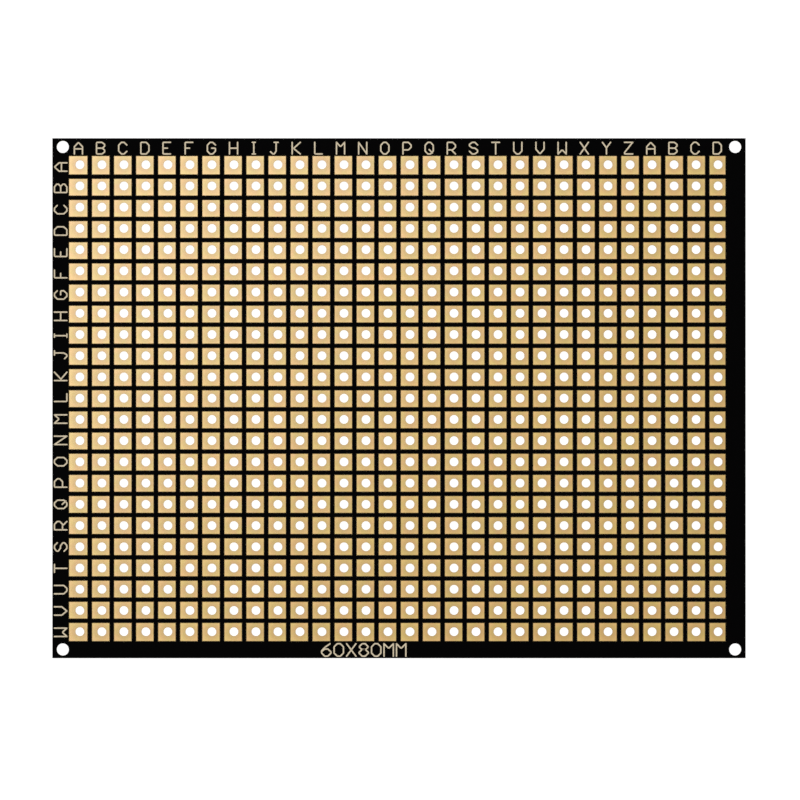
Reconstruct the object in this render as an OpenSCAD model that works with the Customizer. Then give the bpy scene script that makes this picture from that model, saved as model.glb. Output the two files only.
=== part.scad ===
// Prototype board: a double sided circuit board with a grid of square, plated through pads.
// Lengths are in millimetres. The board lies flat with its back face on Z = 0, its front face up,
// and the middle of its outline on the Z axis. Rows of pads run along X, columns along Y.

/* [Hole grid] */
// Number of columns of pads, counted along the board's length
columns = 30; // [2:1:40]
// Number of rows of pads, counted across the board's width
rows = 23; // [2:1:30]
// Distance from one column of holes to the next
column_pitch = 2.54; // [2.2:0.01:5.08]
// Distance from one row of holes to the next
row_pitch = 2.45; // [2.15:0.01:5.08]

/* [Board] */
// Thickness of the board over both its faces
board_t = 1.6; // [0.8:0.1:3.2]
// Margin from the outermost lands to the short edges, where the artwork lies true
end_margin = 2.15; // [1.8:0.01:8]
// Margin from the outermost lands to the long edges, where the artwork lies true
side_margin = 2.07; // [1.8:0.01:8]

/* [Pads] */
// Size of a copper land along its row
land_l = 2.04; // [1.6:0.01:2.3]
// Size of a copper land across its row
land_w = 1.96; // [1.5:0.01:2.2]
// Thickness of the copper lands, and of the mask that lies flush round them
copper_t = 0.05; // [0.02:0.01:0.15]
// Finished diameter of a pin hole, inside its plating
pin_hole_d = 1.05; // [0.6:0.05:1.5]
// Thickness of the copper plating on the wall of a pin hole
plating_t = 0.035; // [0.02:0.005:0.08]

/* [Artwork] */
// Gap between a land and the edge of the opening that the mask leaves for it
mask_gap = 0.02; // [0.01:0.01:0.06]
// How far the printed artwork, lands and mask, lies off the drilling along the rows
artwork_shift_x = -0.06; // [-0.2:0.01:0.2]
// How far the printed artwork, lands and mask, lies off the drilling across the rows
artwork_shift_y = -0.06; // [-0.2:0.01:0.2]
// How much the artwork's film has stretched along the rows, as a share of its length
film_stretch_x = 0.0019; // [-0.004:0.0001:0.004]
// How much the artwork's film has stretched across the rows, as a share of its width
film_stretch_y = -0.0039; // [-0.004:0.0001:0.004]
// How much further than the others the first column's lands reach towards their edge
reach_left = 0.11; // [-0.2:0.01:0.3]
// How much further than the others the last column's lands reach towards their edge
reach_right = -0.18; // [-0.2:0.01:0.3]
// How much further than the others the first row's lands reach towards their edge
reach_top = 0.19; // [-0.2:0.01:0.3]
// How much further than the others the last row's lands reach towards their edge
reach_bottom = 0.16; // [-0.2:0.01:0.3]

/* [Corner holes] */
// Diameter of the four corner holes
corner_hole_d = 1.4; // [0.8:0.1:1.6]
// Distance from a short edge to the centre of a corner hole
corner_inset_x = 1.2; // [0.95:0.05:1.4]
// Distance from a long edge to the centre of a corner hole
corner_inset_y = 1; // [0.95:0.05:1.3]

/* [Hidden] */
// The grid, from the first hole to the last one, and the outline that it makes
grid_l = (columns - 1) * column_pitch;
grid_w = (rows - 1) * row_pitch;
board_l = grid_l + land_l + 2 * end_margin;
board_w = grid_w + land_w + 2 * side_margin;

// The laminate is what the copper and the mask on its two faces leave of the thickness
core_t = board_t - 2 * copper_t;
front_z = board_t - copper_t;

// The hole is drilled wider than it finishes, by the plating on its wall
drill_d = pin_hole_d + 2 * plating_t;

// How far a cutter runs past the faces that it goes through
past = 1;

laminate_colour = "#a8986a";
mask_colour = "#0b0b0d";
gold_colour = "#e1bc7a";

$fn = 32;

// Rows are lettered from the top edge down, and go on with aa, ab and so on after z
function row_letter(r) = r < 26 ? chr(97 + r) : str("a", chr(71 + r));
function row_node(r) = str("pads_row_", row_letter(r));
function column_x(c) = c * column_pitch - grid_l / 2;
function row_y(r) = grid_w / 2 - r * row_pitch;

// Where the artwork prints a land's middle, whose hole is drilled at column_x and row_y
function printed_x(c) = column_x(c) * (1 + film_stretch_x) + artwork_shift_x;
function printed_y(r) = row_y(r) * (1 + film_stretch_y) + artwork_shift_y;

// Left, right, top and bottom side of the land in column c and row r
function land_left(c) = printed_x(c) - land_l / 2 - (c == 0 ? reach_left : 0);
function land_right(c) = printed_x(c) + land_l / 2 + (c == columns - 1 ? reach_right : 0);
function land_top(r) = printed_y(r) + land_w / 2 + (r == 0 ? reach_top : 0);
function land_bottom(r) = printed_y(r) - land_w / 2 - (r == rows - 1 ? reach_bottom : 0);

// The board's rectangle with its four corner holes, before the grid is cut
module blank()
    difference() {
        square([board_l, board_w], center = true);
        for (side = [-1, 1], end = [-1, 1])
            translate([end * (board_l / 2 - corner_inset_x), side * (board_w / 2 - corner_inset_y)])
                circle(d = corner_hole_d);
    }

// The outline of one land, or of the opening round it when it is wider by a gap on every side
module land_outline(c, r, gap = 0)
    translate([land_left(c) - gap, land_bottom(r) - gap])
        square([land_right(c) - land_left(c) + 2 * gap, land_top(r) - land_bottom(r) + 2 * gap]);

// A front land and a back land, joined through the board by the plating on the hole's wall
module plated_hole(c, r)
    difference() {
        union() {
            for (z = [0, front_z])
                translate([0, 0, z]) linear_extrude(copper_t) land_outline(c, r);
            translate([column_x(c), row_y(r), copper_t]) cylinder(d = drill_d, h = core_t);
        }
        translate([column_x(c), row_y(r), -past]) cylinder(d = pin_hole_d, h = board_t + 2 * past);
    }

// The glass fibre core, drilled for every pin and corner hole
module laminate()
    color(laminate_colour)
        translate([0, 0, copper_t])
            linear_extrude(core_t)
                difference() {
                    blank();
                    for (r = [0 : rows - 1], c = [0 : columns - 1])
                        translate([column_x(c), row_y(r)]) circle(d = drill_d);
                }

// A thin film with a square opening round every land
module mask()
    color(mask_colour)
        linear_extrude(copper_t)
            difference() {
                blank();
                for (r = [0 : rows - 1], c = [0 : columns - 1])
                    land_outline(c, r, mask_gap);
            }

module mask_front()
    translate([0, 0, front_z]) mask();

module mask_back()
    mask();

// The separate pads of one row
module pads_row(r)
    color(gold_colour)
        for (c = [0 : columns - 1]) plated_hole(c, r);

laminate();
mask_front();
mask_back();
for (r = [0 : rows - 1])
    pads_row(r);
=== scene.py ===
"""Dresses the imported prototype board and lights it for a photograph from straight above.

The board lies on its back face with its lettered front face up. Lengths are in metres, in the frame
of the CAD model: X along the rows of pads, Y across them, Z out of the front face.
"""

import bpy
import numpy as np
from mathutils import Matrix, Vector


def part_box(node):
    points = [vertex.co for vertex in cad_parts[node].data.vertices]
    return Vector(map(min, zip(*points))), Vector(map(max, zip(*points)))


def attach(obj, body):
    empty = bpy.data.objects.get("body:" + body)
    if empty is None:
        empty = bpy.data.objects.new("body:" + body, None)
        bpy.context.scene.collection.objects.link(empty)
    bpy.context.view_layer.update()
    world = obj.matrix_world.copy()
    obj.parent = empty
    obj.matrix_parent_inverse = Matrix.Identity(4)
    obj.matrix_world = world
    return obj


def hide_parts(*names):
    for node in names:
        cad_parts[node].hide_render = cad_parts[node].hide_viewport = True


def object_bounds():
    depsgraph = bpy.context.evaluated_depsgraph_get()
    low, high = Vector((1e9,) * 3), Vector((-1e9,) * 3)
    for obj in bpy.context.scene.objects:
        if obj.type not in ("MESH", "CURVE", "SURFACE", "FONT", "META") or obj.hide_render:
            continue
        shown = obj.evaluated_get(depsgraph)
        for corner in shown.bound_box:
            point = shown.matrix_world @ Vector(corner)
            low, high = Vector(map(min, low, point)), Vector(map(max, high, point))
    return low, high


MM = 0.001

# The grid of pads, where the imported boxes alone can't tell it. The lands are printed from a film
# that has stretched a little along the rows, so they drift off their holes towards the board's ends
COLUMNS = 30
COLUMN_PITCH = 2.54 * MM
ROW_PITCH = 2.45 * MM
LAND_L = 2.04 * MM
FILM_STRETCH_X = 0.0019
ARTWORK_SHIFT_X = -0.06 * MM

# The barrel fills the CAD model's drilled hole. The plating in it is 0.01 mm thicker than there, so
# that the bore looks as wide as in the photograph
PIN_HOLE_R = 0.515 * MM
PLATING = 0.045 * MM
# How far the etched side of a land leans in from its foot to its top edge
ETCH_LEAN = 0.035 * MM
# Facets round a pin hole, a multiple of four so that every corner of a land has one
HOLE_FACETS = 12
# How far from a hole's axis the gilt's painted shade and painted highlight change
TONE_REACH = 1.5 * MM
# Painted shade down a bore: the depth where it is darkest, and the gilt's share of its tone there
BORE_SHADE_DEPTH = 0.4 * MM
BORE_SHADE_TONE = 0.35

# Printed ink: the pen's width, the height of its bead, and how far a bent stroke is rounded
PEN_W = 0.17 * MM
INK_H = 0.018 * MM
PEN_ROUND = 0.12 * MM
# An arc at a bend has this many points, and takes at most this share of the strokes on its sides
ARC_POINTS = 5
BEND_SHARE = 0.48
# A bend flatter than this is left alone. A sharper one than the second starts a new stroke, which
# overlaps the last one at the corner
FLAT_BEND = 0.001
SHARP_BEND = np.radians(100)
# Angles across a bead, from one side over the top to the other, and angles of the rings of its tips
BEAD_ANGLES = np.radians([0, 36, 72, 108, 144, 180])
TIP_ANGLES = np.radians([80, 60, 30])

# A glyph's grid is 6 units wide and 8 high, and these are its sizes at the pen's centre line
GLYPH_UNITS = np.array([6.0, 8.0])
COLUMN_GLYPH = np.array([0.935, 1.34]) * MM
ROW_GLYPH = np.array([0.965, 1.435]) * MM
NUMBER_GLYPH = np.array([1.08, 1.44]) * MM

# Each text starts at its first glyph's left edge and middle height. Insets are from the board's
# edges, gaps are from one glyph's cell to the next one's, and the size text is centred on its X
COLUMN_TEXT_INSET = np.array([2.54, 1.146]) * MM
COLUMN_TEXT_GAP = 1.622 * MM
ROW_TEXT_INSET = np.array([0.957, 2.84]) * MM
ROW_TEXT_GAP = 1.496 * MM
SIZE_TEXT_INSET_Y = 0.95 * MM
SIZE_TEXT_X = -4.07 * MM
SIZE_TEXT_GAP = 0.36 * MM

# Every glyph fills a cell of the grid's full width, apart from these
NARROW_CELLS = {"I": 3.2}

# Strokes of each glyph, as points on its grid, with a slash between strokes
GLYPHS = {
    "A": "0,0 0,5 3,8 6,5 6,0 / 0,3.5 6,3.5",
    "B": "3,4 0,4 0,8 4,8 6,6.6 6,5.4 4.4,4 3,4 / 4.4,4 6,2.6 6,1.4 4,0 0,0 0,4",
    "C": "6,6.2 4,8 2,8 0,6 0,2 2,0 4,0 6,1.8",
    "D": "0,4 0,8 4,8 6,6 6,2 4,0 0,0 0,4",
    "E": "5.5,8 0,8 0,0 5.5,0 / 0,4 3.2,4",
    "F": "5.5,8 0,8 0,0 / 0,4 3.2,4",
    "G": "6,6.2 4,8 2,8 0,6 0,2 2,0 4,0 6,2 6,4 3.2,4",
    "H": "0,0 0,8 / 6,0 6,8 / 0,4 6,4",
    "I": "0.5,0 2.7,0 / 0.5,8 2.7,8 / 1.6,0 1.6,8",
    "J": "3,8 6,8 / 4.5,8 4.5,2 3.2,0 2,0 0.4,1.5",
    "K": "0,0 0,8 / 6,8 1,3.8 / 1,3.8 6,0 / 0,3.8 1,3.8",
    "L": "0.3,8 0.3,0 5.8,0",
    "M": "0,0 0,8 / 0,8 3,5 6,8 / 6,8 6,0",
    "N": "0,0 0,8 / 0,8 6,0 / 6,0 6,8",
    "O": "0,4 0,6 2,8 4,8 6,6 6,2 4,0 2,0 0,2 0,4",
    "P": "0,0 0,8 4,8 6,6.2 6,4.6 4,2.8 0,2.8",
    "Q": "0,4 0,6 2,8 4,8 6,6 6,2 4,0 2,0 0,2 0,4 / 3,3 5.4,0.7",
    "R": "0,0 0,8 4,8 6,6.2 6,4.6 4,2.8 0,2.8 / 3,2.8 6,0",
    "S": "6,6.2 4,8 2,8 0,6.6 0,5.6 2,4.2 4,4 6,2.6 6,1.4 4,0 2,0 0,1.8",
    "T": "0.2,8 5.8,8 / 3,8 3,0",
    "U": "0,8 0,2 2,0 4,0 6,2 6,8",
    "V": "0,8 0,3.3 3,0 6,3.3 6,8",
    "W": "0,8 0,0 / 0,0 3,2.9 6,0 / 6,0 6,8",
    "X": "0,8 6,0 / 0,0 6,8",
    "Y": "0,8 3,4.2 6,8 / 3,4.2 3,0",
    "Z": "0,8 6,8 / 6,8 0,1 / 0,1 0,0 6,0",
    "0": "0,4 0,6 2,8 4,8 6,6 6,2 4,0 2,0 0,2 0,4",
    "6": "5.4,8 2,5.6 0,3.4 0,2 2,0 4,0 6,2 6,2.8 4,4.6 2,4.6 0,3",
    "8": (
        "3,4.4 1.6,4.4 0,6 2,8 4,8 6,6 4.4,4.4 3,4.4 / "
        "3,4.4 2,4.4 0,2.4 0,2 2,0 4,0 6,2 6,2.4 4,4.4 3,4.4"
    ),
}

# The camera looks straight down through a long lens. The photograph's frame is 800 pixels wide
FRAME_PX = 800
BOARD_CENTRE_PX = np.array([399.0, 398.2])
PX_PER_MM = 8.666
LENS_MM = 1000
SENSOR_MM = 36

# A soft square lamp high over the board's top left, and how much light the white surround gives
LAMP_PLACE = Vector((-0.099, 0.1, 0.77))
LAMP_SIZE = 0.25
LAMP_WATTS = 0.755
SURROUND_LIGHT = 0.9

# The floor lies just under the board. It glows by itself where it is seen, and a little less where
# the lamp lights its paper too, beside the board
FLOOR_SIZE = 3.0
FLOOR_DROP = 0.02 * MM
FLOOR_GLOW = 0.9
FLOOR_PAPER = (0.3, 0.3, 0.3, 1)

# The strength at which a background is plain white in the picture
WHITE = 1.0

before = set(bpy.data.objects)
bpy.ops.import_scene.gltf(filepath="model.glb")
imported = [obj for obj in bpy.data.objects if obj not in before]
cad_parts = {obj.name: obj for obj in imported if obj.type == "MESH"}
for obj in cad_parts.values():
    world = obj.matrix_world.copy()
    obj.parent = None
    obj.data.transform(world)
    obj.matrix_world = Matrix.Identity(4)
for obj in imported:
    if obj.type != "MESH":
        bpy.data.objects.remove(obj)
CAD_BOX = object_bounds()

BOARD_LOW, BOARD_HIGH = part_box("laminate")
BACK_Z, FRONT_Z = CAD_BOX[0].z, CAD_BOX[1].z
MASK_NODES = sorted(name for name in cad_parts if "mask" in name)
ROW_NODES = sorted(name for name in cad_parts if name.startswith("pads_row_"))


def grid_faces(rings, around, first=0):
    """Quads between neighbouring closed rings of points, as a whole array of vertex numbers.

    Ring r and place a make vertex first + r * around + a, and each quad joins two places of two
    rings. Its normal is the step from ring to ring crossed with the step round a ring, so it points
    out of every piece.
    """
    r, a = np.meshgrid(np.arange(rings - 1), np.arange(around), indexing="ij")
    here = first + r * around
    after = (a + 1) % around
    corners = [here + a, here + around + a, here + around + after, here + after]
    return np.stack(corners, -1).reshape(-1, 4)


def add_piece(name, points, faces, smooth, material, replaces=()):
    """Makes a mesh object of points and faces that rides on the board.

    Smooth says for each face whether it is shaded smooth.
    """
    mesh = bpy.data.meshes.new(name)
    mesh.from_pydata(points.tolist(), [], faces)
    mesh.update()
    mesh.polygons.foreach_set("use_smooth", smooth)
    mesh.materials.append(material)
    piece = bpy.data.objects.new(name, mesh)
    bpy.context.scene.collection.objects.link(piece)
    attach(piece, "root")
    if replaces:
        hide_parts(*replaces)
    return piece


def shader(name, **sockets):
    """A material with one Principled shader, whose constant sockets are set here by name."""
    material = bpy.data.materials.new(name)
    material.use_nodes = True
    bsdf = material.node_tree.nodes["Principled BSDF"]
    for socket, value in sockets.items():
        bsdf.inputs[socket.replace("_", " ")].default_value = value
    return material, material.node_tree, bsdf


def node(tree, kind, inputs=None, **settings):
    """A node of one kind, with its settings, and its inputs set to values or linked to sockets."""
    made = tree.nodes.new(kind)
    for key, value in settings.items():
        setattr(made, key, value)
    for key, value in (inputs or {}).items():
        if isinstance(value, bpy.types.NodeSocket):
            tree.links.new(value, made.inputs[key])
        else:
            made.inputs[key].default_value = value
    return made


def worked_out(tree, operation, *values):
    """The result of one Math node on its values, which are numbers or sockets."""
    return node(tree, "ShaderNodeMath", dict(enumerate(values)), operation=operation).outputs[0]


def noise(tree, scale, detail, stretch=(1, 1, 1)):
    """Noise on Object coordinates, with scale in features a metre, times each axis's stretch."""
    place = node(tree, "ShaderNodeTexCoord").outputs["Object"]
    if stretch != (1, 1, 1):
        mapping = node(tree, "ShaderNodeMapping", {"Vector": place, "Scale": stretch})
        place = mapping.outputs["Vector"]
    texture = {"Vector": place, "Scale": scale, "Detail": detail}
    return node(tree, "ShaderNodeTexNoise", texture).outputs["Fac"]


def ramp(tree, factor, stops):
    """A colour ramp through (place, colour) stops."""
    made = node(tree, "ShaderNodeValToRGB", {"Fac": factor})
    elements = made.color_ramp.elements
    while len(elements) < len(stops):
        elements.new(0.5)
    for element, (place, colour) in zip(elements, stops):
        element.position = place
        element.color = (*colour, 1)
    return made.outputs["Color"]


def spread(tree, factor, low, high):
    """Maps a factor of 0 to 1 onto low to high."""
    span = {"Value": factor, "To Min": low, "To Max": high}
    return node(tree, "ShaderNodeMapRange", span).outputs["Result"]


def multiplied(tree, first, second, share=1.0):
    """One colour multiplied by a share of another."""
    inputs = {0: share, 6: first, 7: second}
    made = node(tree, "ShaderNodeMix", inputs, data_type="RGBA", blend_type="MULTIPLY")
    return made.outputs[2]


def bumped(tree, bsdf, height, distance, strength):
    """Bumps a shader's surface by a height socket, to a real depth in metres."""
    inputs = {"Height": height, "Distance": distance, "Strength": strength}
    made = node(tree, "ShaderNodeBump", inputs)
    tree.links.new(made.outputs["Normal"], bsdf.inputs["Normal"])


def grey(value):
    """A linear colour with three like channels."""
    return (value, value, value)


def srgb(r, g, b):
    """A colour as a picture shows it, 0 to 255 a channel, turned into a shader's linear values."""
    c = np.array([r, g, b]) / 255
    return tuple(np.where(c <= 0.04045, c / 12.92, ((c + 0.055) / 1.055) ** 2.4))


# Painted shade: the gilt is painted darker down a bore
def painted_bore_shade(tree):
    """A tone that is full on both faces and falls with the depth in a bore, to BORE_SHADE_TONE.

    It grows evenly with the distance from the board's middle plane, over the last BORE_SHADE_DEPTH.
    """
    place = node(tree, "ShaderNodeTexCoord").outputs["Object"]
    height = node(tree, "ShaderNodeSeparateXYZ", {0: place}).outputs["Z"]
    half = (FRONT_Z - BACK_Z) / 2
    above = worked_out(tree, "SUBTRACT", height, BACK_Z + half)
    span = {
        "Value": worked_out(tree, "ABSOLUTE", above),
        "From Min": half - BORE_SHADE_DEPTH,
        "From Max": half,
        "To Min": BORE_SHADE_TONE,
    }
    return node(tree, "ShaderNodeMapRange", span).outputs["Result"]


def gilt_copper():
    """Copper under a thin gilt finish, slightly mottled and different from pad to pad.

    Painted shade darkens it round its hole and down its bore, and a painted highlight makes it
    paler towards a land's corners. Its edge tint keeps it gold at low angles.
    """
    material, tree, bsdf = shader(
        "gilt_copper", Metallic=1.0, Specular_Tint=(0.8, 0.6, 0.3, 1), Coat_Weight=1.0,
        Coat_Roughness=0.18, Coat_IOR=1.68)
    from_hole = node(tree, "ShaderNodeAttribute", attribute_name="from_hole").outputs["Fac"]
    tone = node(tree, "ShaderNodeAttribute", attribute_name="tone").outputs["Fac"]
    # Painted shade round the hole, growing paler outwards to a painted highlight at the land's
    # corners
    across = ramp(tree, from_hole, [
        (0.35, srgb(152, 122, 58)),
        (0.42, srgb(158, 127, 63)),
        (0.5, srgb(161, 129, 61)),
        (0.58, srgb(164, 132, 61)),
        (0.68, srgb(170, 138, 66)),
        (0.78, srgb(175, 142, 72)),
        (1.0, srgb(178, 145, 78)),
    ])
    mottle = noise(tree, 950, 3.0)
    patches = ramp(tree, mottle, [(0.36, srgb(255, 245, 255)), (0.64, srgb(247, 255, 233))])
    tones = ramp(tree, tone, [(0, grey(0.915)), (1, grey(0.985))])
    toned = multiplied(tree, multiplied(tree, across, patches), tones)
    # The painted shade down the bore darkens the base colour
    tree.links.new(multiplied(tree, toned, painted_bore_shade(tree)), bsdf.inputs["Base Color"])
    tree.links.new(spread(tree, noise(tree, 2500, 3.0), 0.34, 0.4), bsdf.inputs["Roughness"])
    bumped(tree, bsdf, noise(tree, 14000, 2.0), 0.002 * MM, 0.5)
    return material


def solder_mask():
    """Matt black solder mask, almost even, with a fine grain."""
    material, tree, bsdf = shader("matt_solder_mask", Specular_IOR_Level=0.008)
    grain = ramp(tree, noise(tree, 9000, 3.0), [
        (0.3, grey(0.0004)),
        (0.7, (0.0009, 0.0007, 0.0008)),
    ])
    tree.links.new(grain, bsdf.inputs["Base Color"])
    tree.links.new(spread(tree, noise(tree, 300, 2.0), 0.3, 0.4), bsdf.inputs["Roughness"])
    bumped(tree, bsdf, noise(tree, 5000, 2.0), 0.002 * MM, 0.5)
    return material


def glass_laminate():
    """Sawn glass fibre laminate: straw coloured resin, with the plies of cloth as thin lines."""
    material, tree, bsdf = shader("glass_laminate", Specular_IOR_Level=0.4)
    plies = noise(tree, 300, 4.0, (0.25, 0.25, 40.0))
    base = ramp(tree, plies, [
        (0.32, srgb(118, 100, 58)),
        (0.5, srgb(168, 148, 98)),
        (0.68, srgb(202, 186, 138)),
    ])
    flecks = ramp(tree, noise(tree, 5200, 3.0), [(0.42, grey(0.72)), (0.6, grey(1.0))])
    tree.links.new(multiplied(tree, base, flecks, 0.8), bsdf.inputs["Base Color"])
    tree.links.new(spread(tree, plies, 0.75, 0.5), bsdf.inputs["Roughness"])
    bumped(tree, bsdf, noise(tree, 7000, 3.0), 0.01 * MM, 0.7)
    return material


def index_ink():
    """Cream printing ink, matt, a little uneven where the screen left it thinner."""
    material, tree, bsdf = shader("index_ink", Specular_IOR_Level=0.3, Roughness=0.6)
    cream = ramp(tree, noise(tree, 3600, 3.0), [
        (0.3, srgb(190, 176, 149)),
        (0.65, srgb(210, 196, 168)),
    ])
    tree.links.new(cream, bsdf.inputs["Base Color"])
    bumped(tree, bsdf, noise(tree, 12000, 2.0), 0.003 * MM, 0.5)
    return material


def land_outline(middle, half, angles):
    """Outlines of lands: a square's points at these angles, times each land's two half sides."""
    ray = np.stack([np.cos(angles), np.sin(angles)], -1)
    square = ray / np.abs(ray).max(-1, keepdims=True)
    return middle[:, None] + half[:, None] * square


def plated_holes(middle, half, foil):
    """Pads as rings of points: up the bore, over the front land, down the barrel and back.

    Middle and half are each land's middle, seen from its hole, and its half sides. A ring is a
    circle about the hole or a rectangle about the land, at one height. The last ring is the first
    one again, so the rings close into a tube.
    """
    angles = np.pi / 4 + np.arange(HOLE_FACETS) * 2 * np.pi / HOLE_FACETS
    circle = np.tile(np.stack([np.cos(angles), np.sin(angles)], -1), (len(middle), 1, 1))
    bore = circle * PIN_HOLE_R
    barrel = circle * (PIN_HOLE_R + PLATING)
    foot = land_outline(middle, half, angles)
    top = land_outline(middle, half - ETCH_LEAN, angles)
    rings = [
        (bore, BACK_Z),
        (bore, FRONT_Z),
        (top, FRONT_Z),
        (foot, FRONT_Z - foil),
        (barrel, FRONT_Z - foil),
        (barrel, BACK_Z + foil),
        (foot, BACK_Z + foil),
        (top, BACK_Z),
        (bore, BACK_Z),
    ]
    return np.stack([np.dstack([xy, np.full(xy.shape[:2], z)]) for xy, z in rings], 1)


def add_pads_row(name, number, material):
    """One row of pads. Each is a plated hole's rings, with its land where the artwork prints it.

    Each point keeps how far it lies from its hole's axis, as a share of TONE_REACH, and a tone of
    its pad's own.
    """
    low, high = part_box(name)
    board = (BOARD_LOW + BOARD_HIGH) / 2
    from_middle = (np.arange(COLUMNS) - (COLUMNS - 1) / 2) * COLUMN_PITCH
    hole_y = board.y + ((len(ROW_NODES) - 1) / 2 - number) * ROW_PITCH
    holes = np.stack([board.x + from_middle, np.full(COLUMNS, hole_y), np.zeros(COLUMNS)], -1)
    printed = board.x + from_middle * (1 + FILM_STRETCH_X) + ARTWORK_SHIFT_X
    left, right = printed - LAND_L / 2, printed + LAND_L / 2
    left[0], right[-1] = low.x, high.x
    printed_y = np.full(COLUMNS, (low.y + high.y) / 2)
    middle = np.stack([(left + right) / 2, printed_y], -1) - holes[:, :2]
    half = np.stack([(right - left) / 2, np.full(COLUMNS, (high.y - low.y) / 2)], -1)
    rings = plated_holes(middle, half, BOARD_LOW.z - BACK_Z)
    count = rings.shape[1] - 1
    from_hole = np.linalg.norm(rings[:, :count, :, :2], axis=-1) / TONE_REACH
    points = (rings[:, :count] + holes[:, None, None]).reshape(-1, 3)
    one = grid_faces(count + 1, HOLE_FACETS) % (count * HOLE_FACETS)
    firsts = np.arange(COLUMNS)[:, None, None] * count * HOLE_FACETS
    faces = (one[None] + firsts).reshape(-1, 4)
    # The bore and the barrel are the round walls, from ring 0 and from ring 4 of each pad
    ring_of_face = np.tile(np.repeat(np.arange(count), HOLE_FACETS), COLUMNS)
    smooth = np.isin(ring_of_face, (0, 4))
    piece = add_piece(
        "gilt_" + name, points, faces.tolist(), smooth, material, (name,))
    tones = np.random.default_rng(number).random(COLUMNS)
    for key, values in (
        ("from_hole", from_hole.ravel()),
        ("tone", np.repeat(tones, count * HOLE_FACETS)),
    ):
        attribute = piece.data.attributes.new(key, "FLOAT", "POINT")
        attribute.data.foreach_set("value", values.astype(np.float32))


def rounded(points):
    """A polyline with each bend replaced by an arc of the pen's radius, or by what fits of it.

    The arc leaves each side at radius * tan(turn / 2) from the bend. It is a parabola's arc, whose
    point at t is (1 - t)^2 of its start, 2 t (1 - t) of the bend and t^2 of its end.
    """
    made = [points[0]]
    for before, bend, after in zip(points, points[1:], points[2:]):
        into, out = bend - before, after - bend
        into_l, out_l = np.linalg.norm(into), np.linalg.norm(out)
        into, out = into / into_l, out / out_l
        turn = np.arccos(np.clip(into @ out, -1, 1))
        if turn < FLAT_BEND:
            made.append(bend)
            continue
        back = min(PEN_ROUND * np.tan(turn / 2), BEND_SHARE * into_l, BEND_SHARE * out_l)
        t = np.linspace(0, 1, ARC_POINTS)[:, None]
        start, end = bend - into * back, bend + out * back
        made.extend((1 - t) ** 2 * start + 2 * t * (1 - t) * bend + t ** 2 * end)
    made.append(points[-1])
    return np.array(made)


def split_at_sharp_bends(points):
    """Cuts a polyline where it turns by more than SHARP_BEND, so that each part can be rounded."""
    parts, start = [], 0
    for i in range(1, len(points) - 1):
        into, out = points[i] - points[i - 1], points[i + 1] - points[i]
        along = into @ out / np.linalg.norm(into) / np.linalg.norm(out)
        if np.arccos(np.clip(along, -1, 1)) > SHARP_BEND:
            parts.append(points[start:i + 1])
            start = i
    parts.append(points[start:])
    return parts


def bead(line):
    """A bead of ink: a half ellipse carried along a line, with a round tip past each end.

    At an angle a past the end the bead reaches sin(a) of the pen's radius further and is cos(a) as
    wide and as high. Across, the angle b runs from 0 to 180 degrees: cos(b) to the side, sin(b) up.
    """
    line = rounded(line)
    along = np.gradient(line, axis=0)
    along[0], along[-1] = line[1] - line[0], line[-1] - line[-2]
    along /= np.linalg.norm(along, axis=1, keepdims=True)
    radius = PEN_W / 2
    centre = np.vstack([
        line[0] - along[0] * radius * np.sin(TIP_ANGLES)[:, None],
        line,
        line[-1] + along[-1] * radius * np.sin(TIP_ANGLES[::-1])[:, None],
    ])
    tip_rings = (len(TIP_ANGLES), 1)
    along = np.vstack([np.tile(along[0], tip_rings), along, np.tile(along[-1], tip_rings)])
    size = np.concatenate([np.cos(TIP_ANGLES), np.ones(len(line)), np.cos(TIP_ANGLES[::-1])])
    side = np.stack([along[:, 1], -along[:, 0]], -1)
    reach = radius * size[:, None] * np.cos(BEAD_ANGLES)
    flat = centre[:, None] + side[:, None] * reach[..., None]
    height = FRONT_Z + INK_H * size[:, None] * np.sin(BEAD_ANGLES)
    return np.concatenate([flat, height[..., None]], -1)


def glyph_strokes(letter, size):
    """A glyph's strokes as arrays of points at its real size, and the width of its cell.

    The cell's left edge and its middle height are at 0.
    """
    unit = size / GLYPH_UNITS
    strokes = [
        np.array([[float(v) for v in point.split(",")] for point in part.split()])
        for part in GLYPHS[letter].split("/")
    ]
    width = NARROW_CELLS.get(letter, GLYPH_UNITS[0]) * unit[0]
    return [(s - [0, GLYPH_UNITS[1] / 2]) * unit for s in strokes], width


def add_text(name, letters, size, gap, start, material, turned=False):
    """Letters printed one after another to the right, each as wide as its own cell plus the gap.

    Turned letters lie a quarter turn anticlockwise instead, and run down the board.
    """
    points, faces, smooth = [], [], []
    first = 0
    step = np.array([0, -1] if turned else [1, 0])
    place = np.array(start, float)
    for letter in letters:
        strokes, width = glyph_strokes(letter, size)
        for stroke in strokes:
            if turned:
                stroke = np.stack([-stroke[:, 1], stroke[:, 0] - width], -1)
            for part in split_at_sharp_bends(stroke):
                rings = bead(part + place)
                count, around = rings.shape[:2]
                points.append(rings.reshape(-1, 3))
                sides = grid_faces(count, around, first)
                last = first + (count - 1) * around
                faces.extend(sides.tolist())
                faces.append(list(range(first, first + around)))
                faces.append(list(range(last, last + around))[::-1])
                smooth.extend([True] * len(sides) + [False, False])
                first += count * around
        place = place + step * (width + gap)
    add_piece(name, np.concatenate(points), faces, smooth, material)


def text_width(letters, size, gap):
    """How long a text is, from its first cell's left edge to its last one's right edge."""
    return sum(glyph_strokes(letter, size)[1] for letter in letters) + gap * (len(letters) - 1)


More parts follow.
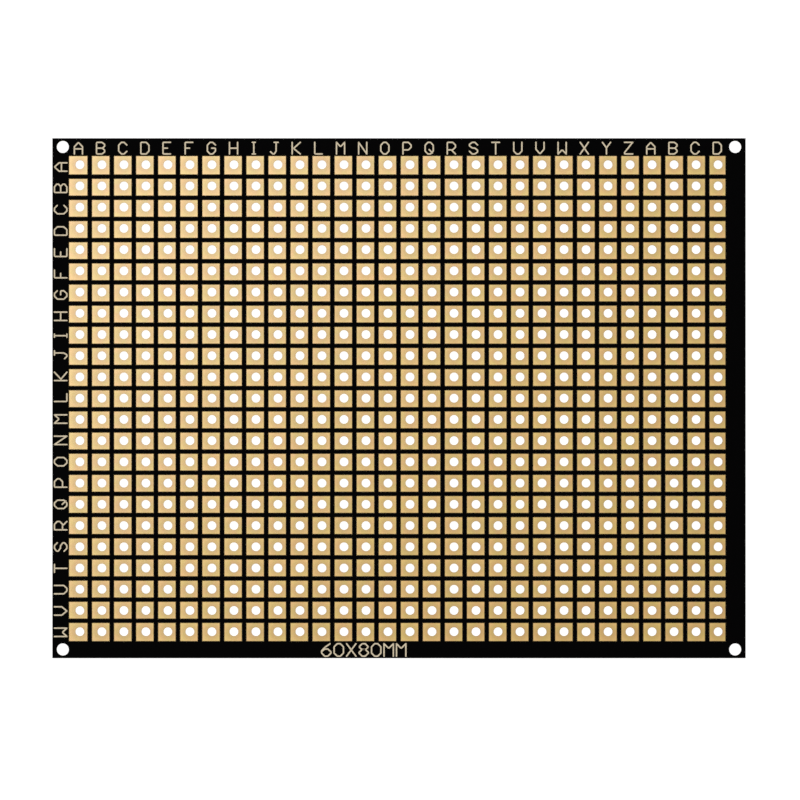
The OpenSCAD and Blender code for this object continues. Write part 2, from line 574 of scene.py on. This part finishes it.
def add_lettering(material):
    """Column letters along the top edge, row letters down the left one, the size at the bottom."""
    alphabet = "ABCDEFGHIJKLMNOPQRSTUVWXYZ"
    columns = (alphabet * 2)[:COLUMNS]
    start = (BOARD_LOW.x + COLUMN_TEXT_INSET[0], BOARD_HIGH.y - COLUMN_TEXT_INSET[1])
    add_text("column_letters", columns, COLUMN_GLYPH, COLUMN_TEXT_GAP, start, material)
    rows = alphabet[:len(ROW_NODES)]
    start = (BOARD_LOW.x + ROW_TEXT_INSET[0], BOARD_HIGH.y - ROW_TEXT_INSET[1])
    add_text("row_letters", rows, ROW_GLYPH, ROW_TEXT_GAP, start, material, turned=True)
    size = "60X80MM"
    left = SIZE_TEXT_X - text_width(size, NUMBER_GLYPH, SIZE_TEXT_GAP) / 2
    start = (left, BOARD_LOW.y + SIZE_TEXT_INSET_Y)
    add_text("size_numbers", size, NUMBER_GLYPH, SIZE_TEXT_GAP, start, material)


def add_camera():
    """A long lens straight above, so that the board's centre falls where the photograph has it."""
    camera = bpy.data.cameras.new("camera")
    camera.lens = LENS_MM
    camera.sensor_width = SENSOR_MM
    aside = (FRAME_PX / 2 - BOARD_CENTRE_PX) / PX_PER_MM * MM
    middle = (BOARD_LOW + BOARD_HIGH) / 2
    away = FRAME_PX / PX_PER_MM * MM * LENS_MM / SENSOR_MM
    eye = bpy.data.objects.new("camera", camera)
    eye.location = (middle.x + aside[0], middle.y - aside[1], FRONT_Z + away)
    bpy.context.scene.collection.objects.link(eye)
    bpy.context.scene.camera = eye


def seen(tree):
    """1 for rays that show a background: from the camera, by reflection or through glass."""
    path = node(tree, "ShaderNodeLightPath")
    shown = path.outputs["Is Camera Ray"]
    for ray in ("Is Glossy Ray", "Is Transmission Ray"):
        shown = worked_out(tree, "MAXIMUM", shown, path.outputs[ray])
    return shown


def add_floor():
    """A white floor that keeps a faint shadow round the board and shows white through its holes."""
    half = FLOOR_SIZE / 2
    z = BACK_Z - FLOOR_DROP
    corners = [(-half, -half, z), (half, -half, z), (half, half, z), (-half, half, z)]
    mesh = bpy.data.meshes.new("floor")
    mesh.from_pydata(corners, [], [(0, 1, 2, 3)])
    material = bpy.data.materials.new("floor")
    material.use_nodes = True
    tree = material.node_tree
    tree.nodes.clear()
    place = node(tree, "ShaderNodeTexCoord").outputs["Object"]
    xyz = node(tree, "ShaderNodeSeparateXYZ", {0: place})
    under = [
        worked_out(tree, "LESS_THAN", worked_out(tree, "ABSOLUTE", xyz.outputs[axis]), reach)
        for axis, reach in (("X", BOARD_HIGH.x), ("Y", BOARD_HIGH.y))
    ]
    glow = spread(tree, worked_out(tree, "MULTIPLY", *under), FLOOR_GLOW, WHITE)
    strength = worked_out(tree, "MULTIPLY", seen(tree), glow)
    light = node(tree, "ShaderNodeEmission", {"Strength": strength})
    paper = node(tree, "ShaderNodeBsdfDiffuse", {"Color": FLOOR_PAPER})
    both = node(tree, "ShaderNodeAddShader", {0: light.outputs[0], 1: paper.outputs[0]})
    node(tree, "ShaderNodeOutputMaterial", {"Surface": both.outputs[0]})
    mesh.materials.append(material)
    floor = bpy.data.objects.new("floor", mesh)
    bpy.context.scene.collection.objects.link(floor)


def add_lights():
    """A white surround, and a soft lamp that faces the board's middle."""
    world = bpy.data.worlds.new("studio")
    bpy.context.scene.world = world
    world.use_nodes = True
    tree = world.node_tree
    background = tree.nodes["Background"]
    background.inputs["Color"].default_value = (1, 1, 1, 1)
    strength = spread(tree, seen(tree), SURROUND_LIGHT, WHITE)
    tree.links.new(strength, background.inputs["Strength"])
    light = bpy.data.lights.new("key", "AREA")
    light.size = LAMP_SIZE
    light.energy = LAMP_WATTS
    lamp = bpy.data.objects.new("key", light)
    lamp.location = LAMP_PLACE
    lamp.rotation_euler = (-LAMP_PLACE).to_track_quat("-Z", "Y").to_euler()
    bpy.context.scene.collection.objects.link(lamp)


def add_board():
    """Gives the CAD masks and core their finishes, and puts the dressed pads and the print on."""
    finish = {"laminate": glass_laminate(), **dict.fromkeys(MASK_NODES, solder_mask())}
    for name, material in finish.items():
        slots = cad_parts[name].data.materials
        slots.clear()
        slots.append(material)
    gilt = gilt_copper()
    for number, name in enumerate(ROW_NODES):
        add_pads_row(name, number, gilt)
    add_lettering(index_ink())


def main():
    bpy.context.scene.view_settings.view_transform = "Standard"
    add_camera()
    add_board()
    add_floor()
    add_lights()
    bpy.context.view_layer.update()


main()
